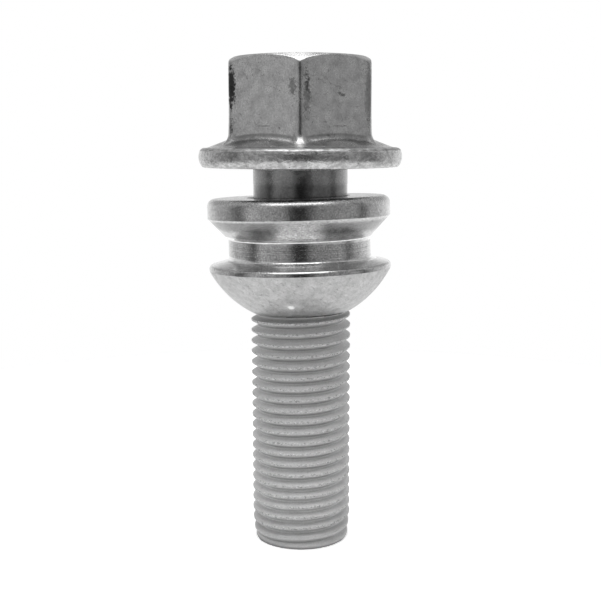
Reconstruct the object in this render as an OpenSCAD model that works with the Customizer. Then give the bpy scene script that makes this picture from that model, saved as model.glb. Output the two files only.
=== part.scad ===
// Wheel bolt with a loose ball-seat collar, standing on its thread end, +Z towards the head.
// The origin is the centre of the end face. A corner of the hexagon points along -Y.
// The helix of the thread is left out: the shank is the plain cylinder over its crests.

/* [Hexagon] */
// Width across the flats
hex_af = 18.6; // [17:0.1:20]
// How far the six corners are turned back from sharp
hex_corner_cut = 0.2; // [0.05:0.05:0.6]
// Height of the head, from the bearing face of the flange to the top
head_h = 14.47; // [12:0.01:20]
// Angle of the top chamfer from the horizontal
chamfer_angle = 30; // [15:1:45]
// How far the flat top lies inside the flats
top_inset = 0.35; // [0.1:0.05:2]

/* [Flange] */
// Largest diameter, across the barrelled edge
flange_d = 27.6; // [25:0.1:31]
// Radius of the barrelled edge, seen in section
flange_edge_r = 2.1; // [1.7:0.1:4]
// Height of the edge, from the bearing face to the start of the cone
flange_edge_h = 2.22; // [1.6:0.01:3]
// Height of the edge's widest place above the bearing face
flange_widest_h = 1.37; // [1.1:0.01:1.55]
// Slope of the cone that rises from the edge to the hexagon
flange_slope = 21; // [10:1:30]
// Radius of the fillet between the bearing face and the neck
neck_fillet = 0.4; // [0.1:0.05:0.45]

/* [Neck and thread] */
// Diameter of the plain neck that the collar slides on
neck_d = 12.9; // [12.4:0.05:13.1]
// Length of the neck, from the last thread to the bearing face
neck_len = 19.88; // [18.9:0.01:40]
// Diameter over the crests of the thread
thread_d = 13.8; // [13.6:0.02:14]
// Length of the thread, from the end face to the neck
thread_len = 32.35; // [20:0.05:60]
// Chamfer where the thread starts under the neck
thread_shoulder = 0.12; // [0.05:0.01:0.2]
// Diameter of the end, where the last turns are cut down
end_d = 13.1; // [12:0.1:13.5]
// Length over which the last turns grow to the full diameter
end_taper_len = 3.6; // [1:0.1:8]
// Radius round the edge of the end face
end_round = 0.15; // [0.05:0.05:0.5]

/* [Ball-seat collar] */
// Radius of the ball that seats in the wheel
ball_r = 14; // [13:0.5:16]
// Outer diameter of both rims
collar_d = 25; // [23.5:0.1:26]
// Diameter at the bottom of the groove
groove_d = 19.5; // [17:0.1:21]
// Height of the groove's straight floor, with its fillets
groove_floor_h = 2.83; // [2:0.01:3.6]
// Slope of the groove's upper side from the horizontal
groove_slope = 46.7; // [35:0.1:55]
// Height of the upper rim
upper_rim_h = 2.66; // [1.5:0.02:3.5]
// Radius of the upper rim's top edge
upper_edge_r = 1.05; // [0.2:0.05:1.3]
// Height of the lower rim's straight land over the ball
lower_land_h = 0.28; // [0.1:0.02:1]
// Radius of the lower rim's top edge
lower_edge_r = 0.5; // [0.1:0.05:0.8]
// Slope of the lower rim's top face from the horizontal
shelf_slope = 14; // [0:1:25]
// Radius of the fillet between that face and the groove
groove_fillet = 0.65; // [0.1:0.05:0.8]
// Radius of the fillet between the groove and its sloping side
groove_top_fillet = 0.5; // [0.1:0.05:0.8]
// Width of the flat ring under the ball
foot_land = 0.2; // [0.1:0.05:1]
// Chamfer at the upper mouth of the bore
bore_chamfer = 0.5; // [0.45:0.05:1]

/* [Fit of the collar on the neck] */
// Free play between the neck and the bore, on the radius
collar_play = 0.32; // [0.1:0.01:0.33]
// Smallest gap between the collar's foot and the thread that it has dropped onto
seat_gap = 0.03; // [0.01:0.01:0.1]
// How far the top of the collar leans out, as a share of the play
lean_top = 0.95; // [0:0.05:0.95]
// Direction of the top's lean, in degrees from +X towards +Y
lean_top_dir = 162; // [0:1:360]
// How far the foot of the collar has slid out, as a share of the play
lean_foot = 0.65; // [0:0.05:0.95]
// Direction in which the foot has slid, in degrees from +X towards +Y
lean_foot_dir = 293; // [0:1:360]

/* [Hidden] */
$fn = 96;
steel_grey = [0.62, 0.63, 0.64];
collar_grey = [0.72, 0.73, 0.74];
arc_steps = 8;
cut = 0.5;

hex_corner_r = hex_af / sqrt(3) - hex_corner_cut;
top_r = hex_af / 2 - top_inset;
flange_r = flange_d / 2;
neck_r = neck_d / 2;
thread_r = thread_d / 2;
end_r = end_d / 2;
bearing_z = thread_len + neck_len;
top_z = bearing_z + head_h;

collar_r = collar_d / 2;
groove_r = groove_d / 2;
bore_r = neck_r + collar_play;
foot_r = bore_r + foot_land;
ball_z = sqrt(pow(ball_r, 2) - pow(foot_r, 2));
// The ball ends at the rim, or at its equator where the rim is wider than the ball
land_z = ball_z - sqrt(max(0, pow(ball_r, 2) - pow(collar_r, 2)));
shelf_r = collar_r - lower_edge_r * (1 - sin(shelf_slope));
shelf_z = land_z + lower_land_h + lower_edge_r * cos(shelf_slope);
groove_foot_z = shelf_z + (shelf_r - groove_r) * tan(shelf_slope);
groove_top_z = groove_foot_z + groove_floor_h;
upper_rim_z = groove_top_z + (collar_r - groove_r) * tan(groove_slope);
collar_h = upper_rim_z + upper_rim_h;

top_shift = lean_top * collar_play * [cos(lean_top_dir), sin(lean_top_dir)];
foot_shift = lean_foot * collar_play * [cos(lean_foot_dir), sin(lean_foot_dir)];
lean_vector = top_shift - foot_shift;
lean_dir = atan2(lean_vector.y, lean_vector.x);
lean_angle = atan(norm(lean_vector) / collar_h);
foot_z = thread_len + seat_gap + foot_r * sin(lean_angle);

// Points of an arc in a section, from angle a to angle b about the centre c
function arc(c, r, a, b) =
    [for (i = [0 : arc_steps]) c + r * [cos(a + (b - a) * i / arc_steps), sin(a + (b - a) * i / arc_steps)]];

// Hexagonal prism with turned-back corners and a conical chamfer round its top
module hexagon() {
    foot = bearing_z + flange_edge_h;
    chamfer_h = (hex_corner_r - top_r) * tan(chamfer_angle);
    intersection() {
        translate([0, 0, foot])
            rotate([0, 0, 30])
                cylinder(d = hex_af * 2 / sqrt(3), h = top_z - foot, $fn = 6);
        union() {
            translate([0, 0, foot])
                cylinder(r = hex_corner_r, h = top_z - foot - chamfer_h);
            translate([0, 0, top_z - chamfer_h])
                cylinder(r1 = hex_corner_r, r2 = top_r, h = chamfer_h);
        }
    }
}

// Flange with a barrelled edge, a flat bearing face and a cone that carries the hexagon
module flange() {
    edge_centre = [flange_r - flange_edge_r, bearing_z + flange_widest_h];
    low = -asin(flange_widest_h / flange_edge_r);
    high = asin((flange_edge_h - flange_widest_h) / flange_edge_r);
    cone_foot_r = edge_centre.x + flange_edge_r * cos(high);
    cone_top_r = hex_af / 2 - cut;
    cone_top_z = bearing_z + flange_edge_h + (cone_foot_r - cone_top_r) * tan(flange_slope);
    rotate_extrude()
        polygon(concat(
            [[0, bearing_z]],
            arc(edge_centre, flange_edge_r, low, high),
            [[cone_top_r, cone_top_z], [0, cone_top_z]]
        ));
}

// Plain neck, with a fillet up into the bearing face
module neck() {
    fillet_centre = [neck_r + neck_fillet, bearing_z - neck_fillet];
    rotate_extrude()
        polygon(concat(
            [[0, thread_len - cut], [neck_r, thread_len - cut]],
            arc(fillet_centre, neck_fillet, 180, 90),
            [[neck_r + neck_fillet, bearing_z + cut], [0, bearing_z + cut]]
        ));
}

// Shank over the crests of the thread: cut-down end, full cylinder, and the shoulder under the neck
module thread_shank() {
    rotate_extrude()
        polygon(concat(
            [[0, 0]],
            arc([end_r - end_round, end_round], end_round, -90, 0),
            [[thread_r, end_taper_len]],
            [[thread_r, thread_len - thread_shoulder]],
            [[thread_r - thread_shoulder, thread_len]],
            [[0, thread_len]]
        ));
}

module bolt() {
    color(steel_grey)
        union() {
            hexagon();
            flange();
            neck();
            thread_shank();
        }
}

// The ball that bears on the wheel, from the foot ring up to the lower rim
module ball_seat() {
    intersection() {
        translate([0, 0, ball_z])
            sphere(r = ball_r);
        cylinder(r = collar_r, h = land_z + lower_land_h);
    }
}

// Lower rim's rounded top, groove and upper rim, turned in one profile
module rims() {
    fillet_run = groove_fillet * tan((90 - shelf_slope) / 2);
    fillet_centre = [groove_r + groove_fillet, groove_foot_z + fillet_run];
    top_run = groove_top_fillet * tan((90 - groove_slope) / 2);
    top_centre = [groove_r + groove_top_fillet, groove_top_z - top_run];
    rotate_extrude()
        polygon(concat(
            [[neck_r, land_z]],
            [[collar_r, land_z]],
            arc([collar_r - lower_edge_r, land_z + lower_land_h], lower_edge_r, 0, 90 - shelf_slope),
            arc(fillet_centre, groove_fillet, 270 - shelf_slope, 180),
            arc(top_centre, groove_top_fillet, 180, 90 + groove_slope),
            [[collar_r, upper_rim_z]],
            arc([collar_r - upper_edge_r, collar_h - upper_edge_r], upper_edge_r, 0, 90),
            [[neck_r, collar_h]]
        ));
}

// Bore that slides on the neck, chamfered where it meets the fillet under the head
module collar_bore() {
    translate([0, 0, -cut])
        cylinder(r = bore_r, h = collar_h + 2 * cut);
    translate([0, 0, collar_h - bore_chamfer])
        cylinder(r1 = bore_r, r2 = bore_r + bore_chamfer + cut, h = bore_chamfer + cut);
}

// The collar has dropped onto the thread and leans over as far as its bore lets it
module ball_collar() {
    color(collar_grey)
        translate([foot_shift.x, foot_shift.y, foot_z])
            rotate(a = lean_angle, v = [-sin(lean_dir), cos(lean_dir), 0])
                difference() {
                    union() {
                        ball_seat();
                        rims();
                    }
                    collar_bore();
                }
}

bolt();
ball_collar();
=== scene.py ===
# %% [markdown]
# # A wheel bolt with a loose ball-seat collar
#
# The object is a car's wheel bolt: a forged hexagon head with its flange, a plain neck and a rolled M14
# thread, all one piece of steel, and a turned steel collar that hangs loose on the neck. This lesson models
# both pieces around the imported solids, one step at a time, and finishes each surface with its own material.

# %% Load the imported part
import math

import bmesh
import bpy
from mathutils import Matrix, Vector, noise


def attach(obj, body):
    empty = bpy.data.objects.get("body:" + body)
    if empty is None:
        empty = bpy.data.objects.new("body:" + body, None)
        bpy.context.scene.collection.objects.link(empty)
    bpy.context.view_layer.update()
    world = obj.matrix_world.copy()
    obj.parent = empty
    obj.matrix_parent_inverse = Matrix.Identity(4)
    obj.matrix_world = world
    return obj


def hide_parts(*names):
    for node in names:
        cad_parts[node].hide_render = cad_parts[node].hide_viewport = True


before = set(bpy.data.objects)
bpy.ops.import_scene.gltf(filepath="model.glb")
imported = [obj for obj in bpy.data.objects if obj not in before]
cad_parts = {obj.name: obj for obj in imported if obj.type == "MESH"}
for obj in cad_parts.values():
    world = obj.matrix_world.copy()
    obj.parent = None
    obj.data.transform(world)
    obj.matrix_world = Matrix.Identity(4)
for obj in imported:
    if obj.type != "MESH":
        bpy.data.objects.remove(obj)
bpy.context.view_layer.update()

# %% [markdown]
# ## Camera
#
# The photograph was taken from close by, a little above the middle of the bolt and looking slightly down.
# The distance, the height and the tilt were worked out from the outline of the bolt, so the camera is set by
# those real lengths. A short distance matters here: it is why the flange looks flat while the end of the
# thread shows as a deep curve.

# %% Set the camera
MM = 0.001
CAMERA_DISTANCE = 141.4 * MM
CAMERA_HEIGHT = 55.8 * MM
CAMERA_TILT = math.radians(8.88)
CAMERA_ROLL = math.radians(-0.18)
CAMERA_SHIFT = (-0.2 / 601, 0.5 / 601)
CAMERA_LENS = 61.65
SENSOR_WIDTH = 36.0
CLIP_START = 10 * MM

camera_data = bpy.data.cameras.new("camera")
camera_data.lens = CAMERA_LENS
camera_data.sensor_width = SENSOR_WIDTH
camera_data.sensor_fit = "HORIZONTAL"
camera_data.clip_start = CLIP_START
camera_data.shift_x, camera_data.shift_y = CAMERA_SHIFT
camera = bpy.data.objects.new("camera", camera_data)
camera.location = (0, -CAMERA_DISTANCE, CAMERA_HEIGHT)
facing = Matrix.Rotation(math.radians(90) - CAMERA_TILT, 4, "X") @ Matrix.Rotation(CAMERA_ROLL, 4, "Z")
camera.rotation_euler = facing.to_euler()
bpy.context.scene.collection.objects.link(camera)
bpy.context.scene.camera = camera
print("camera at mm:", [round(1000 * value, 1) for value in camera.location])

# %% [markdown]
# ## Floor and studio light
#
# Bare steel shows what stands round it more than its own colour, so the light is built as a room: a grey
# belt at eye height with three dark gaps, in front and at both sides, that turns white behind the bolt, a
# grey dome, and one long soft lamp overhead. The gaps give the upright dark bands on the neck, the groove
# and the rims, and the lamp gives the white line along each edge. The room is a world shader that depends
# only on the direction looked in, so it is the same from every view. The floor is a small pale disc, lit a
# little from within so that it and the walls look plain white to the camera.
#
# The helpers come first. One puts a bmesh into an object, and the others add a shader node, link it and set
# its values in one line, which keeps the materials below short enough to read.

# %% Small helpers for meshes and materials
def new_object(name, bm):
    """Put a finished bmesh into an object at the origin."""
    mesh = bpy.data.meshes.new(name)
    bm.to_mesh(mesh)
    bm.free()
    made = bpy.data.objects.new(name, mesh)
    bpy.context.scene.collection.objects.link(made)
    return made


def principled(name):
    """A new material and its Principled BSDF."""
    material = bpy.data.materials.new(name)
    material.use_nodes = True
    shader = material.node_tree.nodes["Principled BSDF"]
    return material, shader


def add_node(tree, kind, **settings):
    """Add a shader node and set its properties by name."""
    node = tree.nodes.new("ShaderNode" + kind)
    for label, value in settings.items():
        setattr(node, label, value)
    return node


def grey_colour(grey):
    """An opaque grey as a colour."""
    return (grey, grey, grey, 1)


def set_ramp(node, stops):
    """Fill a colour ramp from (position, grey) pairs."""
    elements = node.color_ramp.elements
    while len(elements) > 1:
        elements.remove(elements[-1])
    for index, (position, grey) in enumerate(stops):
        stop = elements[0] if index == 0 else elements.new(position)
        stop.position = position
        stop.color = grey_colour(grey)


def feed(tree, source, socket):
    """Link an output into a socket, or set the socket if the source is a plain value."""
    if isinstance(source, bpy.types.NodeSocket):
        tree.links.new(source, socket)
    else:
        socket.default_value = source


def axes_of(tree, position):
    """The X, the Y and the Z of a position."""
    node = add_node(tree, "SeparateXYZ")
    feed(tree, position, node.inputs[0])
    return node.outputs["X"], node.outputs["Y"], node.outputs["Z"]


def maths(tree, operation, first, second=0.0):
    """The output of a math node."""
    node = add_node(tree, "Math", operation=operation)
    feed(tree, first, node.inputs[0])
    feed(tree, second, node.inputs[1])
    return node.outputs[0]


def minus(tree, first, second):
    """The difference of two values."""
    return maths(tree, "SUBTRACT", first, second)


def times(tree, *factors):
    """The product of several values."""
    product = factors[0]
    for factor in factors[1:]:
        product = maths(tree, "MULTIPLY", product, factor)
    return product


def fade(tree, value, off, full):
    """0 at off and beyond, 1 at full and beyond, smooth between."""
    node = add_node(tree, "MapRange", interpolation_type="SMOOTHSTEP")
    up = isinstance(off, bpy.types.NodeSocket) or isinstance(full, bpy.types.NodeSocket) or off < full
    feed(tree, value, node.inputs["Value"])
    feed(tree, off if up else full, node.inputs["From Min"])
    feed(tree, full if up else off, node.inputs["From Max"])
    node.inputs["To Min"].default_value = 0 if up else 1
    node.inputs["To Max"].default_value = 1 if up else 0
    return node.outputs["Result"]


print("helpers are ready")

# %% Floor
FLOOR_RADIUS = 130 * MM
FLOOR_GREY = 0.84
FLOOR_ROUGH = 0.9
FLOOR_GLOW = (0.25, 0.5)

floor_bm = bmesh.new()
bmesh.ops.create_circle(floor_bm, segments=96, radius=FLOOR_RADIUS, cap_ends=True)
floor = new_object("floor", floor_bm)
floor_material, shader = principled("pale_floor")
tree = floor_material.node_tree
shader.inputs["Base Color"].default_value = grey_colour(FLOOR_GREY)
shader.inputs["Roughness"].default_value = FLOOR_ROUGH
shader.inputs["Emission Color"].default_value = grey_colour(1)
seen = add_node(tree, "LightPath")
glow = add_node(tree, "MapRange")
glow.inputs["To Min"].default_value, glow.inputs["To Max"].default_value = FLOOR_GLOW
feed(tree, seen.outputs["Is Camera Ray"], glow.inputs["Value"])
feed(tree, glow.outputs["Result"], shader.inputs["Emission Strength"])
floor.data.materials.append(floor_material)
print("floor", round(2000 * FLOOR_RADIUS), "mm across")

# %% Belt and dome of the room
BELT = (
    (-180, 1.15), (-150, 1.0), (-130, 0.72), (-110, 0.54), (-100, 0.46), (-92, 0.36), (-84, 0.15),
    (-75, 0.13), (-67, 0.48), (-60, 0.62), (-50, 0.44), (-30, 0.38), (-21, 0.38), (-17, 0.32), (-13, 0.13),
    (-9, 0.03), (6, 0.03), (12, 0.08), (17, 0.22), (25, 0.31), (50, 0.31), (60, 0.36), (77, 0.42),
    (82, 0.14), (88, 0.08), (94, 0.40), (104, 0.54), (120, 0.74), (150, 1.1), (180, 1.15),
)
BELT_TOP = (0.38, 0.66)
DOME_GREY = 0.46
BACK_FROM = (0.2, 0.7)
BACK_LOWER = 0.3


def mix_in(tree, factor, base, grey):
    """A colour with a plain grey mixed in by a factor."""
    node = add_node(tree, "Mix", data_type="RGBA")
    node.inputs["B"].default_value = grey_colour(grey)
    feed(tree, factor, node.inputs["Factor"])
    feed(tree, base, node.inputs["A"])
    return node.outputs["Result"]


world = bpy.data.worlds.new("studio")
world.use_nodes = True
bpy.context.scene.world = world
tree = world.node_tree
tree.nodes.clear()
direction = add_node(tree, "TexCoord")
x, y, z = axes_of(tree, direction.outputs["Generated"])
azimuth = maths(tree, "ARCTAN2", x, times(tree, y, -1.0))
around = add_node(tree, "MapRange")
around.inputs["From Min"].default_value = -math.pi
around.inputs["From Max"].default_value = math.pi
feed(tree, azimuth, around.inputs["Value"])
belt = add_node(tree, "ValToRGB")
set_ramp(belt, [((degrees + 180) / 360, grey) for degrees, grey in BELT])
feed(tree, around.outputs["Result"], belt.inputs["Fac"])
lower_at_back = times(tree, fade(tree, y, *BACK_FROM), BACK_LOWER)
above_belt = fade(tree, maths(tree, "ADD", z, lower_at_back), *BELT_TOP)
walls = mix_in(tree, above_belt, belt.outputs["Color"], DOME_GREY)
print("room has", len(BELT), "stops in its belt")

# %% [markdown]
# The lamp is a long box with rounded corners in the sky of the room, a little narrower at the back. It is
# no real light but a bright patch of the world, so its place is written as a direction: X to the right, Y to
# the back. Its front end fades out, as a soft box does that leans towards the object.

# %% Lamp of the room
LAMP_LIGHT = 2.7
LAMP_MIDDLE = (-0.03, -0.11)
LAMP_HALF_WIDTH = 0.39
LAMP_WIDENS = 0.15
LAMP_REAR = (0.2, 0.42)
LAMP_REAR_CUT = 0.14
LAMP_HALF_LENGTH = 0.66
LAMP_SQUARENESS = 3.0
LAMP_EDGE = (1.12, 0.95)
LAMP_FRONT = (-0.74, -0.42)
LAMP_ABOVE = 0.2

half_width = minus(tree, LAMP_HALF_WIDTH, times(tree, y, LAMP_WIDENS))
half_width = minus(tree, half_width, times(tree, fade(tree, y, *LAMP_REAR), LAMP_REAR_CUT))
powers = []
for length, middle, half in zip((x, y), LAMP_MIDDLE, (half_width, LAMP_HALF_LENGTH)):
    share = maths(tree, "DIVIDE", minus(tree, length, middle), half)
    powers.append(maths(tree, "POWER", maths(tree, "ABSOLUTE", share), LAMP_SQUARENESS))
lamp_radius = maths(tree, "POWER", maths(tree, "ADD", *powers), 1 / LAMP_SQUARENESS)
overhead = maths(tree, "GREATER_THAN", z, LAMP_ABOVE)
lamp = times(tree, fade(tree, lamp_radius, *LAMP_EDGE), overhead, fade(tree, y, *LAMP_FRONT))
room = mix_in(tree, lamp, walls, LAMP_LIGHT)
print("lamp is", LAMP_LIGHT, "times as bright as the white wall")

# %% Light the room
seen = add_node(tree, "LightPath")
light = add_node(tree, "Background")
out = add_node(tree, "OutputWorld")
feed(tree, mix_in(tree, seen.outputs["Is Camera Ray"], room, 1), light.inputs["Color"])
feed(tree, light.outputs[0], out.inputs[0])
bpy.context.scene.view_settings.view_transform = "Standard"
print("walls are white to the camera")

# %% [markdown]
# ## Outlines
#
# Both pieces are round, so each starts as an outline in millimetres that is spun about the axis. An outline
# is a list of corners, and each corner has the radius that rounds it. The helper below replaces a corner by
# an arc that is tangent to both sides, which is what a turning tool leaves.

# %% Outline helpers
ARC_STEP = math.radians(9)
WELD = 0.0005


def arc(centre, radius, start, end, steps):
    """Points on an arc in the section, from one angle to another in degrees, as corners with no radius."""
    points = []
    for index in range(steps + 1):
        angle = math.radians(start + (end - start) * index / steps)
        points.append((centre[0] + radius * math.cos(angle), centre[1] + radius * math.sin(angle), 0))
    return points


def rounded(corners, closed=False):
    """Turn (r, z, radius) corners into (r, z) points, with an arc at each corner that has a radius."""
    points = []
    count = len(corners)
    for index, (r, z, radius) in enumerate(corners):
        here = Vector((r, z))
        open_end = not closed and index in (0, count - 1)
        if radius == 0 or open_end:
            points.append(here)
            continue
        before = Vector(corners[index - 1][:2]) - here
        after = Vector(corners[(index + 1) % count][:2]) - here
        before.normalize()
        after.normalize()
        half = before.angle(after) / 2
        centre = here + (before + after).normalized() * radius / math.sin(half)
        start = here + before * radius / math.tan(half) - centre
        turn = start.angle_signed(here + after * radius / math.tan(half) - centre)
        steps = max(2, round(abs(turn) / ARC_STEP))
        for step in range(steps + 1):
            points.append(centre + Matrix.Rotation(-turn * step / steps, 2) @ start)
    return points


def stretch(start, end, steps):
    """Corners spaced evenly along a straight stretch, without its last one."""
    return [
        (start[0] + (end[0] - start[0]) * index / steps, start[1] + (end[1] - start[1]) * index / steps, 0)
        for index in range(steps)
    ]


def spin_outline(bm, points, columns, closed=False):
    """Spin an outline of (r, z) points all the way round the Z axis and weld it."""
    verts = [bm.verts.new((r, 0, z)) for r, z in points]
    edges = [bm.edges.new(pair) for pair in zip(verts, verts[1:])]
    if closed:
        edges.append(bm.edges.new((verts[-1], verts[0])))
    bmesh.ops.spin(
        bm, geom=verts + edges, cent=(0, 0, 0), axis=(0, 0, 1), dvec=(0, 0, 0), angle=math.tau,
        steps=columns, use_merge=True, use_normal_flip=False, use_duplicate=False,
    )
    bmesh.ops.remove_doubles(bm, verts=bm.verts, dist=WELD)
    bmesh.ops.recalc_face_normals(bm, faces=bm.faces)


print("outline helpers are ready")

# %% [markdown]
# ## The collar
#
# The real collar is turned from a 25 mm bar in one setting. From the bottom up it has a narrow ring that
# sits on the thread, the ball that seats in the wheel, a rim, a groove with a sloping upper side, and a
# second rim. The bore is a loose fit on the neck, and wide enough to let the collar lean.
#
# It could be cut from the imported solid, but that is made of triangles that show in a reflection. A spun
# outline has even columns and clean rounding, and bare metal needs both. The sizes are those of the solids,
# but for a smaller fillet at the top of the groove and a touch of rounding on each sharp edge.

# %% Collar sizes
NECK_R = 6.45
COLLAR_PLAY = 0.32
BORE_R = NECK_R + COLLAR_PLAY
FOOT_LAND = 0.2
FOOT_R = BORE_R + FOOT_LAND
BALL_R = 14.0
COLLAR_R = 12.5
GROOVE_R = 9.75
GROOVE_SLOPE = math.radians(46.7)
SHELF_SLOPE = math.radians(14)
GROOVE_FLOOR_H = 2.83
GROOVE_FILLET = 0.65
GROOVE_TOP_FILLET = 0.35
LAND_H = 0.28
LAND_EDGE_R = 0.5
UPPER_RIM_H = 2.66
UPPER_EDGE_R = 1.05
BORE_CHAMFER = 0.5

ball_z = math.sqrt(BALL_R ** 2 - FOOT_R ** 2)
land_z = ball_z - math.sqrt(BALL_R ** 2 - COLLAR_R ** 2)
shelf_r = COLLAR_R - LAND_EDGE_R * (1 - math.sin(SHELF_SLOPE))
shelf_z = land_z + LAND_H + LAND_EDGE_R * math.cos(SHELF_SLOPE)
groove_foot_z = shelf_z + (shelf_r - GROOVE_R) * math.tan(SHELF_SLOPE)
groove_top_z = groove_foot_z + GROOVE_FLOOR_H
upper_rim_z = groove_top_z + (COLLAR_R - GROOVE_R) * math.tan(GROOVE_SLOPE)
collar_h = upper_rim_z + UPPER_RIM_H
print("collar is", round(collar_h, 2), "mm high, ball up to", round(land_z, 2))

# %% Spin the collar
COLLAR_COLUMNS = 192
BALL_STEPS = 26
BALL_EDGE_ROUND = 0.06
SLOPE_EDGE_ROUND = 0.12
BORE_EDGE_ROUND = 0.08

ball_low = math.degrees(math.atan2(-ball_z, FOOT_R))
ball_high = math.degrees(math.atan2(land_z - ball_z, COLLAR_R))
collar_corners = [
    (BORE_R, 0, 0),
    *arc((0, ball_z), BALL_R, ball_low, ball_high, BALL_STEPS)[:-1],
    (COLLAR_R, land_z, BALL_EDGE_ROUND),
    (COLLAR_R, shelf_z + (shelf_r - COLLAR_R) * math.tan(SHELF_SLOPE), LAND_EDGE_R),
    (GROOVE_R, groove_foot_z, GROOVE_FILLET),
    *stretch((GROOVE_R, groove_foot_z + 0.8), (GROOVE_R, groove_top_z - 0.3), 3),
    (GROOVE_R, groove_top_z, GROOVE_TOP_FILLET),
    (COLLAR_R, upper_rim_z, SLOPE_EDGE_ROUND),
    (COLLAR_R, collar_h, UPPER_EDGE_R),
    (BORE_R + BORE_CHAMFER, collar_h, BORE_EDGE_ROUND),
    (BORE_R, collar_h - BORE_CHAMFER, BORE_EDGE_ROUND),
    *stretch((BORE_R, collar_h - 1), (BORE_R, 0), 6),
]
collar_bm = bmesh.new()
spin_outline(collar_bm, rounded(collar_corners, closed=True), COLLAR_COLUMNS, closed=True)
print("collar has", len(collar_bm.faces), "faces")

# %% [markdown]
# The collar has dropped onto the first thread. One side of that thread starts higher, so the collar leans
# until its bore touches the neck. The lean is worked out from the play, in the same way as in the solids.

# %% Lean the collar and set it on the thread
THREAD_LEN = 32.35
SEAT_GAP = 0.03
TOP_LEANS = (0.95, 162)
FOOT_SLIDES = (0.65, 293)


def sideways(share, heading):
    """A sideways shift that is a share of the collar's play, in a direction in degrees."""
    angle = math.radians(heading)
    return Vector((math.cos(angle), math.sin(angle), 0)) * share * COLLAR_PLAY


foot_shift = sideways(*FOOT_SLIDES)
lean = sideways(*TOP_LEANS) - foot_shift
lean_angle = math.atan(lean.length / collar_h)
lean_axis = Vector((-lean.y, lean.x, 0)).normalized()
foot_z = THREAD_LEN + SEAT_GAP + FOOT_R * math.sin(lean_angle)
place = Matrix.Translation((foot_shift.x, foot_shift.y, foot_z)) @ Matrix.Rotation(lean_angle, 4, lean_axis)
bmesh.ops.transform(collar_bm, matrix=Matrix.Scale(MM, 4) @ place, verts=collar_bm.verts)
collar = new_object("turned_collar", collar_bm)
collar.data.shade_smooth()
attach(collar, "collar")
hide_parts("ball_collar")
print("collar leans", round(math.degrees(lean_angle), 2), "degrees")

# %% [markdown]
# ## The bolt: head, flange and neck
#
# The head is forged: a round blank with a conical top is pressed into a hexagon. The mesh is made the same
# way. The blank is spun from its outline, and then every point that lies outside the six flats is moved in
# to them. A soft minimum in place of a plain one leaves the small radius that a forging has at its edges.
# Where the flats stand on the cone of the flange, a fillet runs round the foot and grows at the corners. The
# chamfer turns down over a radius, which only the corners reach, so it hangs lower there.
#
# The large sizes are those of the solids, with three small differences. The flange's radius is 0.015 mm
# less, so that its waves stay inside their box. The head's corners and its flat top reach up to 0.1 mm
# further out. The flange's edge ends in a rounded lip, 0.4 mm above the edge of the solid.

# %% Head and flange sizes
NECK_LEN = 19.88
HEAD_H = 14.47
HEX_AF = 18.6
CORNER_CUT = 0.13
CORNER_R = HEX_AF / math.sqrt(3) - CORNER_CUT
CHAMFER = math.radians(30)
TOP_INSET = 0.25
TOP_R = HEX_AF / 2 - TOP_INSET
CHAMFER_ROUND = 1.0
FLANGE_R = 13.785
EDGE_R = 2.1
EDGE_H = 2.22
WIDEST_H = 1.37
FLANGE_SLOPE = math.radians(21)
LIP_H = 2.58
LIP_WIDTH = 0.65
LIP_EDGE_R = 0.75
LIP_FOOT_R = 1.2
BEARING_EDGE_R = 0.1
NECK_FILLET = 0.4

bearing_z = THREAD_LEN + NECK_LEN
top_z = bearing_z + HEAD_H
chamfer_z = top_z - (CORNER_R - TOP_R) * math.tan(CHAMFER)
edge_centre = (FLANGE_R - EDGE_R, bearing_z + WIDEST_H)
edge_low = -math.degrees(math.asin(WIDEST_H / EDGE_R))
edge_high = math.degrees(math.asin((EDGE_H - WIDEST_H) / EDGE_R))
cone_foot_r = edge_centre[0] + EDGE_R * math.cos(math.radians(edge_high))
cone_foot_z = bearing_z + EDGE_H
lip_high = math.degrees(math.asin((LIP_H - WIDEST_H) / EDGE_R))
lip_r = edge_centre[0] + EDGE_R * math.cos(math.radians(lip_high))
lip_z = bearing_z + LIP_H


def cone_r(z):
    """Radius of the flange's cone at a height."""
    return cone_foot_r - (z - cone_foot_z) / math.tan(FLANGE_SLOPE)


def cone_z(r):
    """Height of the flange's cone at a radius."""
    return cone_foot_z + (cone_foot_r - r) * math.tan(FLANGE_SLOPE)


print("head top", round(top_z, 2), "mm, chamfer from", round(chamfer_z, 2))

# %% Spin the blank
BOLT_COLUMNS = 240
FLARE = 0.16
FLARE_FROM_Z = 60.8
NECK_STEP_Z = 49.95
NECK_STEP_DEPTH = 0.015
NECK_STEP_HALF = 0.04
NECK_LOW_R = NECK_R - NECK_STEP_DEPTH
THREAD_CUT_Z = 32.9
FOOT_FILLET = 0.9
ROW_CLEAR = 0.05


def fillet_run(fillet):
    """How far up the wall the fillet on the flange's cone reaches."""
    return fillet * math.tan((math.pi / 2 - FLANGE_SLOPE) / 2)


wall_foot_z = cone_z(CORNER_R)
wall_mid_z = cone_z(HEX_AF / 2) + fillet_run(FOOT_FILLET) + ROW_CLEAR


def flare(z):
    """How far the hexagon spreads at a height near its foot, where the die gives least."""
    low = min(max((FLARE_FROM_Z - z) / (FLARE_FROM_Z - wall_foot_z), 0), 1)
    return FLARE * low * low


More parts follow.
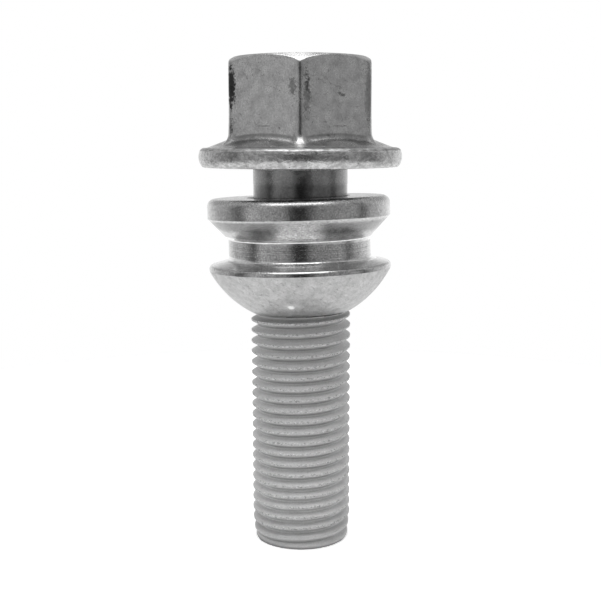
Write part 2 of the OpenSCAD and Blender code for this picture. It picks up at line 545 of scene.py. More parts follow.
round_centre = (CORNER_R - CHAMFER_ROUND, chamfer_z - CHAMFER_ROUND * math.tan(CHAMFER))
round_top_z = round_centre[1] + CHAMFER_ROUND * math.cos(CHAMFER)
wall = [
    *stretch((CORNER_R, round_centre[1]), (CORNER_R, wall_mid_z), 26),
    *stretch((CORNER_R, wall_mid_z), (CORNER_R, wall_foot_z), 24),
]
head_corners = [
    (0, top_z, 0),
    *stretch((3, top_z), (TOP_R, top_z), 5),
    *stretch((TOP_R, top_z), (round_centre[0] + CHAMFER_ROUND / 2, round_top_z), 16),
    *arc(round_centre, CHAMFER_ROUND, 60, 0, 12)[:-1],
    *[(r + flare(z), z, 0) for r, z, _ in wall],
    *stretch((CORNER_R + FLARE, wall_foot_z), (lip_r - LIP_WIDTH, cone_z(lip_r - LIP_WIDTH)), 10),
    (lip_r - LIP_WIDTH, cone_z(lip_r - LIP_WIDTH), LIP_FOOT_R),
    (lip_r, lip_z, LIP_EDGE_R),
    *arc(edge_centre, EDGE_R, lip_high - 10, edge_low, 12)[:-1],
    (edge_centre[0] + EDGE_R * math.cos(math.radians(edge_low)), bearing_z, BEARING_EDGE_R),
    (NECK_R, bearing_z, NECK_FILLET),
    (NECK_R, NECK_STEP_Z + NECK_STEP_HALF, 0),
    (NECK_LOW_R, NECK_STEP_Z - NECK_STEP_HALF, 0),
    *stretch((NECK_LOW_R, NECK_STEP_Z - 1), (NECK_LOW_R, THREAD_CUT_Z), 8),
    (NECK_LOW_R, THREAD_CUT_Z, 0),
]
bolt_bm = bmesh.new()
spin_outline(bolt_bm, rounded(head_corners), BOLT_COLUMNS)
print("blank has", len(bolt_bm.faces), "faces")

# %% [markdown]
# The columns of the blank are crowded towards the six corners first, so that each small radius has several
# of them. The lip of the flange then gets a slight wave, because a forged edge is never quite even, and it
# breaks up the white line that the lamp makes along it.

# %% Press the flats
CORNER_CROWD = 0.55
EDGE_SOFT = 0.08
CORNER_FILLET = 0.7
CORNER_FILLET_R = (10.25, 10.75)
PRESSED_TO_R = 12.2
LIP_WAVE = 0.09
WAVE_REACH = 0.6
WAVES_PER_MM = 1.1


def ramp(value, low, high):
    """0 below low, 1 above high, and a smooth rise between."""
    share = min(max((value - low) / (high - low), 0), 1)
    return share * share * (3 - 2 * share)


def soft_min(a, b, width):
    """The smaller of two lengths, rounded where they are nearly equal."""
    near = max(width - abs(a - b), 0) / width
    return min(a, b) - near * near * width / 4


def flat_r(angle, z):
    """Distance from the axis to the side of the hexagon in a direction."""
    from_middle = (angle + math.pi / 6) % (math.pi / 3) - math.pi / 6
    return (HEX_AF / 2 + flare(z)) / math.cos(from_middle)


def foot_r(wall_r, z):
    """The wall's radius, with a fillet where the wall stands on the flange's cone."""
    fillet = FOOT_FILLET + CORNER_FILLET * ramp(wall_r, *CORNER_FILLET_R)
    run = fillet_run(fillet)
    fillet_top = cone_z(wall_r) + run
    fillet_low = cone_z(wall_r) - run * math.sin(FLANGE_SLOPE)
    if z > fillet_top:
        return wall_r
    if z < fillet_low:
        return max(wall_r, cone_r(z))
    return wall_r + fillet - math.sqrt(max(0, fillet ** 2 - (fillet_top - z) ** 2))


for vert in bolt_bm.verts:
    blank_r = vert.co.xy.length
    if vert.co.z < cone_z(PRESSED_TO_R) or blank_r < WELD:
        continue
    angle = math.atan2(vert.co.y, vert.co.x)
    angle += CORNER_CROWD * math.sin(6 * angle) / 6
    r = foot_r(soft_min(blank_r, flat_r(angle, vert.co.z), EDGE_SOFT), vert.co.z)
    vert.co.xy = (r * math.cos(angle), r * math.sin(angle))

for vert in bolt_bm.verts:
    if abs(vert.co.z - lip_z) < WAVE_REACH and vert.co.xy.length > lip_r - LIP_WIDTH:
        vert.co.z += LIP_WAVE * noise.noise(Vector((vert.co.x, vert.co.y, 0)) * WAVES_PER_MM)
print("flats pressed to", HEX_AF, "mm across")

# %% [markdown]
# ## The bolt: thread
#
# A real M14 thread is rolled: the dies push the steel up into crests, and a fine seam stays on each crest
# where the two sides meet. A spin with a small lift at each step sweeps one pitch of the profile along the
# helix. Turn after turn is then welded, because the top of one pitch is the bottom of the next.

# %% Thread profile and helix
PITCH = 1.5
CREST_R = 6.88
ROOT_R = 6.0
FIRST_LEFT_CREST_Z = 31.25
STEPS_PER_TURN = 120
TURNS_BELOW = 22
TURNS = 24
TURN_WELD = 0.005

thread_profile = (
    (ROOT_R, -0.75), (ROOT_R + 0.02, -0.64), (ROOT_R + 0.10, -0.56), (6.45, -0.36), (6.80, -0.16),
    (CREST_R - 0.02, -0.10), (CREST_R - 0.02, -0.06), (CREST_R - 0.10, -0.01), (CREST_R, 0.05),
    (CREST_R, 0.10), (6.80, 0.16), (6.45, 0.36), (ROOT_R + 0.10, 0.56), (ROOT_R + 0.02, 0.64),
    (ROOT_R, 0.75),
)
start_z = FIRST_LEFT_CREST_Z - PITCH * TURNS_BELOW
thread_bm = bmesh.new()
chain = [thread_bm.verts.new((-r, 0, start_z + z)) for r, z in thread_profile]
links = [thread_bm.edges.new(pair) for pair in zip(chain, chain[1:])]
bmesh.ops.spin(
    thread_bm, geom=chain + links, cent=(0, 0, 0), axis=(0, 0, 1),
    dvec=(0, 0, PITCH / STEPS_PER_TURN), angle=math.tau, steps=STEPS_PER_TURN,
    use_merge=False, use_normal_flip=False, use_duplicate=False,
)
one_turn = thread_bm.verts[:] + thread_bm.edges[:] + thread_bm.faces[:]
for turn in range(1, TURNS):
    copied = bmesh.ops.duplicate(thread_bm, geom=one_turn)["geom"]
    copied_verts = [item for item in copied if isinstance(item, bmesh.types.BMVert)]
    bmesh.ops.translate(thread_bm, verts=copied_verts, vec=(0, 0, PITCH * turn))
bmesh.ops.remove_doubles(thread_bm, verts=thread_bm.verts, dist=TURN_WELD)
print("thread has", len(thread_bm.faces), "faces before it is cut to length")

# %% Cut the helix to length
CUT_WELD = 0.0001


def cut_level(bm, z, keep_above):
    """Cut a mesh at a height and keep one side."""
    bmesh.ops.bisect_plane(
        bm, geom=bm.verts[:] + bm.edges[:] + bm.faces[:], dist=CUT_WELD, plane_co=(0, 0, z),
        plane_no=(0, 0, 1), clear_inner=keep_above, clear_outer=not keep_above,
    )


cut_level(thread_bm, 0, keep_above=True)
cut_level(thread_bm, THREAD_CUT_Z, keep_above=False)
print("thread is cut to", THREAD_CUT_Z, "mm, under the neck")

# %% Shape the two ends of the thread
RUN_OUT = (31.9, 32.8)
END_R = 6.55
END_FLAT_R = 6.4
END_ROUND = 0.15
FULL_CREST_Z = 3.6
FULL_CREST_R = CREST_R + 0.02
ROOT_FILL = (0.3, 1.4)
ROOT_FILL_R = END_R - 0.15

for vert in thread_bm.verts:
    r = vert.co.xy.length
    z = vert.co.z
    crest_limit = END_R + (FULL_CREST_R - END_R) * min(1, z / FULL_CREST_Z)
    filled = ROOT_R + (ROOT_FILL_R - ROOT_R) * (1 - ramp(z, *ROOT_FILL))
    new_r = max(min(r, crest_limit), filled)
    if z < END_ROUND:
        new_r = min(new_r, END_FLAT_R + math.sqrt(max(0, END_ROUND ** 2 - (END_ROUND - z) ** 2)))
    new_r += (NECK_LOW_R - new_r) * ramp(z, *RUN_OUT)
    vert.co.x *= new_r / r
    vert.co.y *= new_r / r
print("thread ends shaped")

# %% [markdown]
# The head and the thread are two open shells with round mouths at one height. The head's mouth is lifted a
# little, both shells go into one mesh, the mouths are bridged, and the end face closes the other side.

# %% Join the head and the thread
JOIN_GAP = 0.05
LEVEL_LIMIT = 0.01


def open_loop(bm, z):
    """The boundary edges of a mesh at a height."""
    return [
        edge for edge in bm.edges
        if edge.is_boundary and all(abs(vert.co.z - z) < LEVEL_LIMIT for vert in edge.verts)
    ]


thread_mesh = bpy.data.meshes.new("thread_part")
thread_bm.to_mesh(thread_mesh)
thread_bm.free()
for vert in {vert for edge in open_loop(bolt_bm, THREAD_CUT_Z) for vert in edge.verts}:
    vert.co.z += JOIN_GAP
bolt_bm.from_mesh(thread_mesh)
bpy.data.meshes.remove(thread_mesh)
mouths = open_loop(bolt_bm, THREAD_CUT_Z + JOIN_GAP) + open_loop(bolt_bm, THREAD_CUT_Z)
bmesh.ops.bridge_loops(bolt_bm, edges=mouths)
bmesh.ops.contextual_create(bolt_bm, geom=open_loop(bolt_bm, 0))
bmesh.ops.recalc_face_normals(bolt_bm, faces=bolt_bm.faces)
bmesh.ops.scale(bolt_bm, vec=(MM, MM, MM), verts=bolt_bm.verts)
still_open = sum(edge.is_boundary for edge in bolt_bm.edges)
print("bolt has", len(bolt_bm.faces), "faces and", still_open, "open edges")
bolt = new_object("forged_bolt", bolt_bm)
bolt.data.shade_smooth()
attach(bolt, "bolt")
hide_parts("bolt")

# %% [markdown]
# ## Shared effects
#
# Each effect that more than one surface shows is a node group with named sockets: a cloudy mottle, fine
# grain, small pits, scratches, lathe lines and single marks at a chosen place. All of them read a position
# in millimetres, so a value such as 0.15 is a real size on the part.

# %% Node group helpers
def new_group(name, inputs, outputs):
    """A node group with float or vector inputs and float outputs: its tree, inputs and outputs."""
    tree = bpy.data.node_groups.new(name, "ShaderNodeTree")
    for label, default in inputs:
        kind = "NodeSocketVector" if isinstance(default, tuple) else "NodeSocketFloat"
        socket = tree.interface.new_socket(label, in_out="INPUT", socket_type=kind)
        socket.default_value = default
    for label in outputs:
        tree.interface.new_socket(label, in_out="OUTPUT", socket_type="NodeSocketFloat")
    return tree, tree.nodes.new("NodeGroupInput").outputs, tree.nodes.new("NodeGroupOutput").inputs


def noise_at(tree, position, scale, detail=2.0, roughness=0.5, dimensions="3D"):
    """The value of a noise texture."""
    node = add_node(tree, "TexNoise", noise_dimensions=dimensions)
    feed(tree, position, node.inputs["W" if dimensions == "1D" else "Vector"])
    feed(tree, scale, node.inputs["Scale"])
    node.inputs["Detail"].default_value = detail
    node.inputs["Roughness"].default_value = roughness
    return node.outputs["Fac"]


print("node group helpers are ready")

# %% [markdown]
# Mottle: the skin of plated steel is never one grey. It could be painted as a picture, but noise in real
# millimetres goes round every side without a seam. The same group gives clouds of 1 mm and grain of 0.2 mm.

# %% Mottle and grain
tree, given, result = new_group("mottle", [("Position", (0, 0, 0)), ("Size", 1.0)], ["Value"])
per_mm = maths(tree, "DIVIDE", 1.0, given["Size"])
cloud = noise_at(tree, given["Position"], per_mm, detail=4.0, roughness=0.6)
feed(tree, minus(tree, cloud, 0.5), result["Value"])
print("mottle swings about 0")

# %% [markdown]
# Place: wear and dirt on a turned part follow its radius and its height, so one group turns a position into
# radius, height and angle, and each finish asks it where it is.

# %% Place on the part
tree, given, result = new_group("place", [("Position", (0, 0, 0))], ["Radius", "Height", "Angle"])
x, y, z = axes_of(tree, given["Position"])
squares = [maths(tree, "POWER", maths(tree, "ABSOLUTE", length), 2.0) for length in (x, y)]
feed(tree, maths(tree, "SQRT", maths(tree, "ADD", *squares)), result["Radius"])
feed(tree, z, result["Height"])
feed(tree, maths(tree, "ARCTAN2", y, x), result["Angle"])
print("radius, height and angle come from one group")

# %% [markdown]
# Pits: forging scale falls off and leaves small dark holes, here and there. A Voronoi texture gives one
# point a cell; the cell's own random colour chooses which points become pits and how large each is.

# %% Pits
LEAST_SIZE = 0.3
RAGGED_SCALE = 9.0
PITS = [("Position", (0, 0, 0)), ("Spacing", 1.0), ("Size", 0.2), ("Share", 0.3)]

tree, given, result = new_group("pits", PITS, ["Mask"])
cells = add_node(tree, "TexVoronoi")
feed(tree, given["Position"], cells.inputs["Vector"])
feed(tree, maths(tree, "DIVIDE", 1.0, given["Spacing"]), cells.inputs["Scale"])
ragged = noise_at(tree, given["Position"], RAGGED_SCALE)
cell_colour = add_node(tree, "SeparateColor")
feed(tree, cells.outputs["Color"], cell_colour.inputs[0])
own_size = times(tree, given["Size"], maths(tree, "ADD", cell_colour.outputs["Green"], LEAST_SIZE))
reach = times(tree, own_size, maths(tree, "ADD", ragged, 0.5))
inside = minus(tree, 1.0, fade(tree, cells.outputs["Distance"], 0.0, reach))
chosen = maths(tree, "LESS_THAN", cell_colour.outputs["Red"], given["Share"])
feed(tree, times(tree, inside, chosen), result["Mask"])
print("pits are ready")

# %% [markdown]
# Scratches: hairlines from sockets, wheels and other bolts in the box. The contour where a smooth noise
# passes its middle value is a thin wandering line, and a second noise keeps only some of its length.

# %% Scratches
LENGTH_SCALE = 0.7
LENGTH_FADE = 0.12
SCRATCHES = [("Position", (0, 0, 0)), ("Width", 0.04), ("Amount", 0.5)]

tree, given, result = new_group("scratches", SCRATCHES, ["Mask"])
line = noise_at(tree, given["Position"], 1.0, detail=1.0)
off_line = maths(tree, "ABSOLUTE", minus(tree, line, 0.5))
thin = minus(tree, 1.0, fade(tree, off_line, 0.0, given["Width"]))
patches = noise_at(tree, given["Position"], LENGTH_SCALE, detail=2.0)
least = minus(tree, 1.0, given["Amount"])
kept = fade(tree, patches, least, maths(tree, "ADD", least, LENGTH_FADE))
feed(tree, times(tree, thin, kept), result["Mask"])
print("scratches are ready")

# %% [markdown]
# Lathe lines: a turning tool leaves fine rings, so the texture is a noise along one length only. A slow
# second noise lets the rings wander by a few hundredths of a millimetre, as real ones do.

# %% Lathe lines
WANDER = 0.05
WANDER_SCALE = 0.6
LATHE_LINES = [("Position", (0, 0, 0)), ("Along", 0.0), ("Spacing", 0.2)]

tree, given, result = new_group("lathe_lines", LATHE_LINES, ["Value"])
wander = noise_at(tree, given["Position"], WANDER_SCALE, detail=1.0)
along = maths(tree, "ADD", given["Along"], times(tree, wander, WANDER))
per_mm = maths(tree, "DIVIDE", 1.0, given["Spacing"])
rings = noise_at(tree, along, per_mm, detail=3.0, roughness=0.7, dimensions="1D")
feed(tree, minus(tree, rings, 0.5), result["Value"])
print("lathe lines are ready")

# %% [markdown]
# Marks: the photograph shows single knocks and smudges, and each has its place. A few marks hold painted
# shade and a painted highlight. A mark is a ball with three half sizes, and noise tears its edge.

# %% A single mark
MARK_EDGE = (1.1, 0.6)
TEAR_SCALE = 2.5
TEAR_DEPTH = 4.0
MARK = [("Position", (0, 0, 0)), ("Middle", (0, 0, 0)), ("Half Size", (1, 1, 1)), ("Ragged", 0.5)]

tree, given, result = new_group("mark", MARK, ["Mask"])
scaled = given["Position"]
for operation, label in (("SUBTRACT", "Middle"), ("DIVIDE", "Half Size")):
    step = add_node(tree, "VectorMath", operation=operation)
    feed(tree, scaled, step.inputs[0])
    feed(tree, given[label], step.inputs[1])
    scaled = step.outputs[0]
distance = add_node(tree, "VectorMath", operation="LENGTH")
feed(tree, scaled, distance.inputs[0])
torn = noise_at(tree, given["Position"], TEAR_SCALE, detail=4.0, roughness=0.65)
torn = times(tree, minus(tree, torn, 0.5), times(tree, given["Ragged"], TEAR_DEPTH))
how_far = maths(tree, "ADD", distance.outputs["Value"], torn)
feed(tree, fade(tree, how_far, *MARK_EDGE), result["Mask"])
print("marks are ready")

# %% [markdown]
# ## The five finishes
#
# The bolt is forged and rolled, then zinc plated, so its metal is grey and satin. The head has a cloudy
# skin with pits, and knocks where sockets have turned on its corners. The neck is darker: partly oil that
# stays under the collar, partly painted shade for the gap between the flange and the collar. The rolled
# thread is the most matte. The collar is turned: its rims and groove still shine, and its ball is dulled
# where it has sat in wheels.
#
# Every finish is made in the same order. Masks say where something is, the grey starts from a base value and
# gets the masks added or multiplied in by weight, and the roughness and the fine relief use the same masks.

# %% Material helpers
BUMP_HEIGHT = 0.1 * MM


def steel(name):
    """A steel material: its node tree, its shader and the position in millimetres."""
    material, shader = principled(name)
    shader.inputs["Metallic"].default_value = 1
    tree = material.node_tree
    where = add_node(tree, "TexCoord")
    in_mm = add_node(tree, "VectorMath", operation="SCALE")
    in_mm.inputs["Scale"].default_value = 1000
    feed(tree, where.outputs["Object"], in_mm.inputs[0])
    return material, tree, shader, in_mm.outputs[0]


def use_group(tree, name, position, **values):
    """Add a node group by name at a position, set or link its other inputs, and give its outputs."""
    node = add_node(tree, "Group", node_tree=bpy.data.node_groups[name])
    feed(tree, position, node.inputs["Position"])
    for label, value in values.items():
        feed(tree, value, node.inputs[label.replace("_", " ")])
    return list(node.outputs)


def mottle(tree, position, size):
    """Noise of a size in millimetres that swings about 0."""
    return use_group(tree, "mottle", position, Size=size)[0]


def mark(tree, position, middle, half_size, ragged):
    """The mask of a single mark."""
    return use_group(tree, "mark", position, Middle=middle, Half_Size=half_size, Ragged=ragged)[0]


def moved(tree, position, stretch_by, turn=(0, 0, 0)):
    """The position turned by degrees and then scaled along each axis."""
    node = add_node(tree, "Mapping", vector_type="TEXTURE")
    node.inputs["Rotation"].default_value = [math.radians(angle) for angle in turn]
    node.inputs["Scale"].default_value = stretch_by
    feed(tree, position, node.inputs["Vector"])
    return node.outputs[0]


def sum_of(tree, base, *parts):
    """A base value plus each of the (value, weight) pairs."""
    for value, weight in parts:
        base = maths(tree, "ADD", base, times(tree, value, weight))
    return base


def darken(tree, grey, *stains):
    """Multiply a grey by 1 - mask * amount for each of the (mask, amount) pairs."""
    for mask, amount in stains:
        grey = times(tree, grey, minus(tree, 1.0, times(tree, mask, amount)))
    return grey


def band(tree, value, low, low_full, high_full, high):
    """A mask that is 1 from low_full to high_full and fades to 0 at low and at high."""
    return times(tree, fade(tree, value, low, low_full), fade(tree, value, high, high_full))


def finish_steel(tree, shader, grey, roughness, height, bump):
    """Plug the grey, the roughness and the height, in tenths of a millimetre, into the shader."""
    colour = add_node(tree, "CombineColor")
    for channel in ("Red", "Green", "Blue"):
        feed(tree, grey, colour.inputs[channel])
    feed(tree, colour.outputs[0], shader.inputs["Base Color"])
    feed(tree, roughness, shader.inputs["Roughness"])
    relief = add_node(tree, "Bump")
    relief.inputs["Strength"].default_value = bump
    relief.inputs["Distance"].default_value = BUMP_HEIGHT
    feed(tree, height, relief.inputs["Height"])
    feed(tree, relief.outputs["Normal"], shader.inputs["Normal"])


print("material helpers are ready")

# %% [markdown]
# Forged head: a cloudy zinc skin over forging scale. The barrelled edge is dirty where hands and wheels
# touch it. A line of painted shade runs along the foot of each flat, and a painted dark reflection of each
# flat lies on the cone, at both sides of each corner. The knocks at the corners come from sockets, and two
# thin lines of painted shade cross the front flats low down, where each flat turns out into its foot.
# They are listed as marks: each has its place in millimetres, its half sizes, how ragged it is and how dark.

# %% Forged head
HEAD_MARKS = (
    ((-8.85, -5.4, 62.6), (0.68, 1.1, 3.1), 0.5, 0.9),
    ((-8.9, -5.4, 57.2), (0.3, 0.5, 0.8), 0.5, 0.7),
    ((-0.9, -10.0, 62.5), (0.5, 0.8, 1.0), 0.9, 0.5),
    ((0.85, -10.2, 61.6), (0.5, 0.9, 2.7), 0.9, 0.5),
    ((0.85, -10.1, 62.6), (0.3, 0.6, 1.0), 0.8, 0.5),
    ((4.95, -7.6, 61.75), (0.35, 0.8, 0.2), 0.5, 0.6),
    ((5.45, -7.4, 61.5), (0.4, 0.8, 0.2), 0.5, 0.6),
    ((8.8, -5.2, 62.0), (0.75, 1.0, 4.8), 0.3, 0.4),
    # The last two are painted shade lines across the two front flats, low down where each flat turns out into
    # its foot.
    ((-4.5, -8.1, 57.6), (1.3, 0.8, 0.09), 0.1, 0.35),
    ((5.0, -7.8, 57.6), (1.3, 0.8, 0.09), 0.1, 0.35),
)
EDGE_TOP_Z = (lip_z + 0.02, lip_z - 0.22)
LIP_Z = (lip_z - 0.5, lip_z - 0.2)
LIP_FROM_R = (12.4, 12.8)
CONE_FROM_R = (10.25, 10.6)
CONE_TO_R = (12.6, 12.2)
FOOT_SHADE_ABOVE_CONE = (0.74, 0.5)
FOOT_SHADE_TO_R = (10.6, 10.2)
REFLECTION_ACROSS = (0.5, 1.1, 3.0, 4.6)
REFLECTION_TOP = (1.3, 0.9)
REFLECTION_TO_R = (12.2, 11.7)

head_steel, tree, shader, mm = steel("forged_head")
radius, height, angle = use_group(tree, "place", mm)
clouds = mottle(tree, mm, 1.4)
grain = mottle(tree, mm, 0.2)
pits = use_group(tree, "pits", mm, Spacing=0.7, Size=0.19, Share=0.4)[0]
slanted = moved(tree, mm, (1.3, 1.3, 0.6), (25, 30, 0))
hairlines = use_group(tree, "scratches", slanted, Width=0.02, Amount=0.5)[0]

on_edge = fade(tree, height, *EDGE_TOP_Z)
on_lip = times(tree, fade(tree, height, *LIP_Z), fade(tree, radius, *LIP_FROM_R))
edge_clouds = mottle(tree, moved(tree, mm, (1.5, 1.5, 0.7)), 0.5)
edge_dirt = times(tree, on_edge, fade(tree, edge_clouds, -0.06, 0.06))
cone_level = sum_of(tree, height, (radius, math.tan(FLANGE_SLOPE)))
above_cone = minus(tree, cone_level, cone_foot_z + cone_foot_r * math.tan(FLANGE_SLOPE))
from_wall = fade(tree, radius, *CONE_FROM_R)
on_cone = times(tree, from_wall, fade(tree, radius, *CONE_TO_R))
# Painted shade: a dark line in the crease where each flat stands on the flange's cone.
painted_foot_shade = times(tree, fade(tree, above_cone, *FOOT_SHADE_ABOVE_CONE), fade(tree, radius, *FOOT_SHADE_TO_R))
from_corner = maths(tree, "PINGPONG", maths(tree, "ADD", angle, math.pi / 2), math.pi / 6)
# Painted reflection: the dark image of each flat is painted on the cone in front of it.
painted_cone_reflection = times(
    tree, band(tree, times(tree, from_corner, radius), *REFLECTION_ACROSS),
    fade(tree, above_cone, *REFLECTION_TOP), fade(tree, radius, *REFLECTION_TO_R), from_wall,
)
knocks_and_shade_lines = [(mark(tree, mm, *place_and_size), amount) for *place_and_size, amount in HEAD_MARKS]

head_grey = darken(
    tree, sum_of(tree, 0.6, (clouds, 0.6), (grain, 0.5)), (edge_dirt, 0.3), (on_edge, 0.08), (painted_foot_shade, 0.42),
    (painted_cone_reflection, 0.45), (on_cone, 0.1), (pits, 0.65), (hairlines, 0.5), (on_lip, 0.1), *knocks_and_shade_lines,
)
head_rough = sum_of(
    tree, 0.25, (clouds, 0.2), (pits, 0.2), (on_lip, 0.15), *[(each_mark, 0.2) for each_mark, _ in knocks_and_shade_lines]
)
head_height = sum_of(tree, grain, (clouds, 0.5), (pits, -0.6))
finish_steel(tree, shader, head_grey, head_rough, head_height, 0.3)
print("head has", len(HEAD_MARKS), "marks")

# %% [markdown]
# Neck: it is drawn bright and then stays under the collar, so it holds a film of oil. The film ends in a
# level line where the collar's top has rubbed it off. Its low grey is partly painted shade, for the gap
# between the flange and the collar, and a thin ring of painted shade lies in the corner under the flange.
# A darker streak runs down the front.

# %% Neck
CLEAN_FROM_Z = (49.6, 50.4)
PAINTED_SHADE_RING_Z = (bearing_z - 0.42, bearing_z - 0.30)
STREAK = ((1.0, -6.3, 49.8), (0.75, 1, 2.3), 0.3)

neck_steel, tree, shader, mm = steel("oily_neck")
_, height, _ = use_group(tree, "place", mm)
clean = fade(tree, height, *CLEAN_FROM_Z)
film = mottle(tree, mm, 1.3)
grain = mottle(tree, mm, 0.2)
# Painted shade: the low base grey stands partly for the shade between flange and collar, and the ring under
# the flange is painted shade.
neck_grey = darken(
    tree, sum_of(tree, 0.22, (clean, 0.13), (film, 0.25), (grain, 0.4)),
    (fade(tree, height, *PAINTED_SHADE_RING_Z), 0.6), (mark(tree, mm, *STREAK), 0.35),
)
neck_rough = sum_of(tree, 0.17, (film, 0.3), (clean, 0.1))
finish_steel(tree, shader, neck_grey, neck_rough, grain, 0.18)
print("neck is clean above", CLEAN_FROM_Z[1], "mm")

# %% [markdown]
# Rolled thread: the most matte of the five. The dies leave a seam of bright and dark flecks along each
# crest. The side of a crest that looks down gets painted shade, the side that looks up a touch of painted
# light, and the roots painted shade. All of it follows the helix, so the finish works out how far it is from
# the nearest crest, in turns: 0 on the crest, a half in the root. A pattern wrapped round the shank would
# need an unwrapped mesh, and this needs none. The painted shade in the roots is deeper at the front and
# fades towards the end. The last turns are darker, down to a thin dark line at the end face.

# %% Rolled thread
CREST_FROM_R = (6.70, 6.80)
CREST_PHASE = (0.16, 0.10)
UPPER_FLANK = (0.10, 0.22)
LOWER_FLANK = (-0.08, -0.16)
ROOT_PHASES = ((-0.3, -0.44), (0.42, 0.5))
FRONT_Y = (-3.8, -5.2)
ROOT_SHADE_FADES_Z = (14.0, 3.0)
LAST_TURNS_Z = (6.0, 1.0)
END_LINE_Z = (0.45, 0.15)

thread_steel, tree, shader, mm = steel("rolled_thread")
shader.inputs["Metallic"].default_value = 0.3
radius, height, angle = use_group(tree, "place", mm)
clouds = mottle(tree, mm, 1.2)
grain = mottle(tree, mm, 0.2)
flecks = mottle(tree, moved(tree, mm, (1, 1, 0.6)), 0.33)
specks = use_group(tree, "pits", mm, Spacing=0.8, Size=0.2, Share=0.2)[0]

turns = maths(tree, "DIVIDE", minus(tree, height, FIRST_LEFT_CREST_Z), PITCH)
turned = maths(tree, "DIVIDE", maths(tree, "ADD", angle, math.pi), math.tau)
turns = minus(tree, turns, turned)
phase = minus(tree, maths(tree, "FRACT", maths(tree, "ADD", turns, 0.5)), 0.5)
on_crest = times(tree, fade(tree, radius, *CREST_FROM_R), fade(tree, phase, *CREST_PHASE))
in_root = maths(tree, "ADD", *[fade(tree, phase, *limits) for limits in ROOT_PHASES])
_, y, _ = axes_of(tree, mm)
# Painted shade in the roots: deeper at the front, and less towards the end of the thread.
painted_root_shade = sum_of(tree, 0.2, (fade(tree, y, *FRONT_Y), 0.2), (fade(tree, height, *ROOT_SHADE_FADES_Z), -0.3))
bright_flecks = times(tree, fade(tree, flecks, 0.06, 0.16), on_crest)
dark_flecks = times(tree, fade(tree, flecks, -0.05, -0.14), on_crest)

# A touch of painted light on the upper flank of each turn.
thread_grey = sum_of(
    tree, 0.66, (clouds, 0.18), (grain, 0.3), (bright_flecks, 0.24), (fade(tree, phase, *UPPER_FLANK), 0.04)
)
# Painted shade on the lower flank and in the roots.
thread_grey = darken(
    tree, thread_grey, (fade(tree, phase, *LOWER_FLANK), 0.2), (in_root, painted_root_shade), (dark_flecks, 0.5),
    (specks, 0.3), (fade(tree, height, *LAST_TURNS_Z), 0.2), (fade(tree, height, *END_LINE_Z), 0.55),
)
thread_rough = sum_of(tree, 0.5, (clouds, 0.2))
finish_steel(tree, shader, thread_grey, thread_rough, maths(tree, "ADD", grain, flecks), 0.35)
print("thread finish follows a pitch of", PITCH, "mm")

# %% [markdown]
# Turned rims: the brightest steel here, with fine rings from the tool. The rings are strong at the bottom
# of the groove, where nothing has touched them, and nearly rubbed away on the rims. The upper part of the
# groove's sloping side has a painted dark reflection, deeper to the left and right. The two corners of the
# groove have painted highlights, and so has the front of the shelf, where the lower rim meets the groove.
# The top edge is a little duller. A few bright rings at the sides of the groove are marks.

# %% Turned rims and groove
GROOVE_LINES = (
    ((-6.4, -7.3, 40.75), (1.1, 0.9, 0.05)),
    ((-6.6, -7.2, 40.1), (0.9, 0.9, 0.05)),
    ((-6.3, -7.4, 39.4), (1.0, 0.9, 0.06)),
    ((-5.9, -7.6, 40.1), (0.06, 0.6, 0.8)),
    ((4.6, -8.5, 40.6), (1.2, 0.9, 0.05)),
    ((5.2, -8.2, 39.0), (1.3, 0.9, 0.06)),
)
LINE_RAGGED = 0.4
SIDES_X = (2.0, 4.0)
IN_GROOVE_R = (10.4, 10.1)
NEAR_GROOVE_R = (10.6, 10.3)
SLOPE_TO_R = (12.5, 12.3)

low_z = foot_z + groove_foot_z
high_z = foot_z + groove_top_z
rim_z = foot_z + upper_rim_z
shelf = (low_z - 0.75, low_z - 0.65, low_z - 0.1, low_z + 0.1)
low_corner = (low_z - 0.2, low_z - 0.05, low_z + 0.35, low_z + 0.5)
top_corner = (high_z - 0.2, high_z - 0.02, high_z + 0.28, high_z + 0.45)
slope = (high_z + 0.1, high_z + 0.5, rim_z - 0.3, rim_z + 0.15)

rim_steel, tree, shader, mm = steel("turned_rims")
radius, height, _ = use_group(tree, "place", mm)
lines = use_group(tree, "lathe_lines", mm, Along=height, Spacing=0.2)[0]
clouds = mottle(tree, mm, 1.3)
grain = mottle(tree, mm, 0.19)
specks = use_group(tree, "pits", mm, Spacing=0.5, Size=0.18, Share=0.45)[0]

x, _, _ = axes_of(tree, mm)
at_sides = fade(tree, maths(tree, "ABSOLUTE", x), *SIDES_X)
near_groove = fade(tree, radius, *NEAR_GROOVE_R)
line_depth = sum_of(tree, 0.05, (fade(tree, radius, *IN_GROOVE_R), 0.45))
on_slope = times(tree, band(tree, height, *slope), fade(tree, radius, *SLOPE_TO_R))
# Painted dark reflection on the upper part of the sloping side, deeper to the left and right.
painted_slope_reflection = times(tree, on_slope, fade(tree, height, high_z + 0.9, high_z + 1.7))
slope_reflection_depth = sum_of(tree, 0.22, (at_sides, 0.26))
# Painted highlights: the base grey is raised along both corners of the groove.
painted_top_highlight = times(tree, band(tree, height, *top_corner), near_groove)
painted_low_highlight = times(tree, band(tree, height, *low_corner), near_groove)
# Painted light on the front of the shelf.
painted_shelf_light = times(tree, band(tree, height, *shelf), minus(tree, 1.0, at_sides))
top_edge = fade(tree, height, rim_z + 1.6, rim_z + 2.0)
bright_lines = [(mark(tree, mm, *line, LINE_RAGGED), 0.3) for line in GROOVE_LINES]

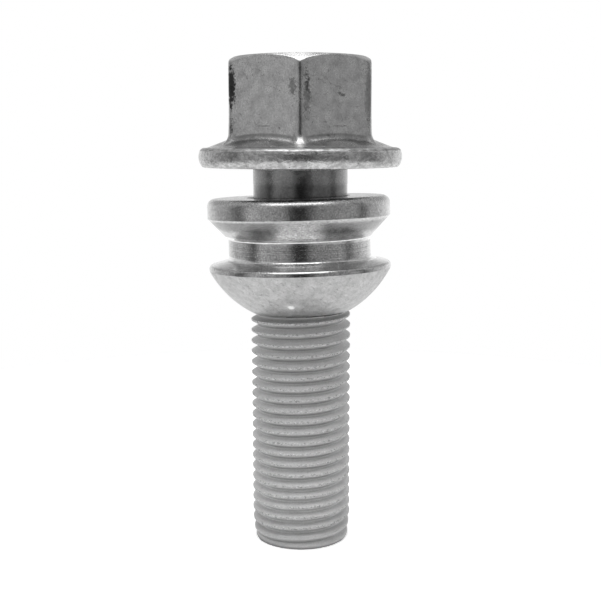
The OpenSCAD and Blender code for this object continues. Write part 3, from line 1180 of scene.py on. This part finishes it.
rim_grey = sum_of(tree, 0.53, (lines, line_depth), (clouds, 0.35), (grain, 1.1))
rim_grey = darken(tree, rim_grey, (specks, 0.5), (painted_slope_reflection, slope_reflection_depth))
rim_grey = sum_of(tree, rim_grey, (painted_top_highlight, 0.35), (painted_low_highlight, 0.3), *bright_lines)
rim_grey = sum_of(tree, rim_grey, (painted_shelf_light, 0.1))
rim_rough = sum_of(tree, 0.16, (on_slope, 0.05), (clouds, 0.2), (top_edge, 0.1))
rim_height = sum_of(tree, times(tree, lines, line_depth), (grain, 0.6), (specks, -0.7))
finish_steel(tree, shader, rim_grey, rim_rough, rim_height, 0.25)
print("groove's corners shine at", round(low_z, 1), "and", round(high_z, 1), "mm")

# %% [markdown]
# Ball: it turns against the wheel each time the bolt is tightened, which dulls it to an even satin with
# fine slanted scratches. A small painted highlight sits at the front, with a paler painted glow round it,
# and four short scrapes lie on the left.

# %% Ball
SCRAPES = (
    ((-6.3, -9.4, 37.2), (0.9, 0.6, 0.08)),
    ((-5.9, -9.3, 36.6), (0.6, 0.6, 0.06)),
    ((-5.2, -9.4, 36.0), (0.8, 0.6, 0.07)),
    ((-6.6, -8.6, 36.3), (0.15, 0.5, 0.5)),
)
SCRAPE_RAGGED = 0.5
GLINT_SPOT = ((-1.29, -9.45, 34.05), (0.6, 0.7, 0.6), 0.2)
GLINT_HALO = ((-1.2, -9.3, 34.0), (1.9, 1.2, 1.0), 0.2)

ball_steel, tree, shader, mm = steel("dulled_ball")
clouds = mottle(tree, mm, 0.9)
grain = mottle(tree, mm, 0.2)
slanted = moved(tree, mm, (2.0, 1.0, 0.5), (0, 38, 0))
hairlines = use_group(tree, "scratches", slanted, Width=0.03, Amount=0.6)[0]
# Painted highlight: a small bright spot at the front, with a paler painted glow round it.
painted_glint = mark(tree, mm, *GLINT_SPOT)
scrapes = [(mark(tree, mm, *scrape, SCRAPE_RAGGED), 0.35) for scrape in SCRAPES]

ball_grey = sum_of(tree, 0.495, (mark(tree, mm, *GLINT_HALO), 0.12), (clouds, 0.5), (grain, 0.3))
ball_grey = sum_of(tree, darken(tree, ball_grey, (hairlines, 0.3), *scrapes), (painted_glint, 0.4))
ball_rough = sum_of(tree, 0.42, (clouds, 0.2), (painted_glint, 0.25))
finish_steel(tree, shader, ball_grey, ball_rough, maths(tree, "ADD", grain, clouds), 0.3)
print("ball has", len(SCRAPES), "scrapes")

# %% [markdown]
# Each face takes the finish of the surface that it belongs to: by height on the bolt, and on the collar by
# its distance from the ball's centre.

# %% Give each face its finish
HEAD_BELOW_BEARING = 0.35
NECK_ABOVE_THREAD = 0.1
BALL_LIMIT = 0.08
BALL_TOP = 0.02

for material in (head_steel, neck_steel, thread_steel):
    bolt.data.materials.append(material)
for face in bolt.data.polygons:
    z = face.center.z / MM
    in_head = z > bearing_z - HEAD_BELOW_BEARING
    face.material_index = 0 if in_head else 1 if z > THREAD_LEN + NECK_ABOVE_THREAD else 2
for material in (rim_steel, ball_steel):
    collar.data.materials.append(material)
back = place.inverted()
ball_middle = place @ Vector((0, 0, ball_z))
for face in collar.data.polygons:
    centre = face.center / MM
    on_ball = abs((centre - ball_middle).length - BALL_R) < BALL_LIMIT
    face.material_index = 1 if on_ball and (back @ centre).z < land_z + BALL_TOP else 0
print("finishes given")

# %% End of the build
print("all pieces are built")
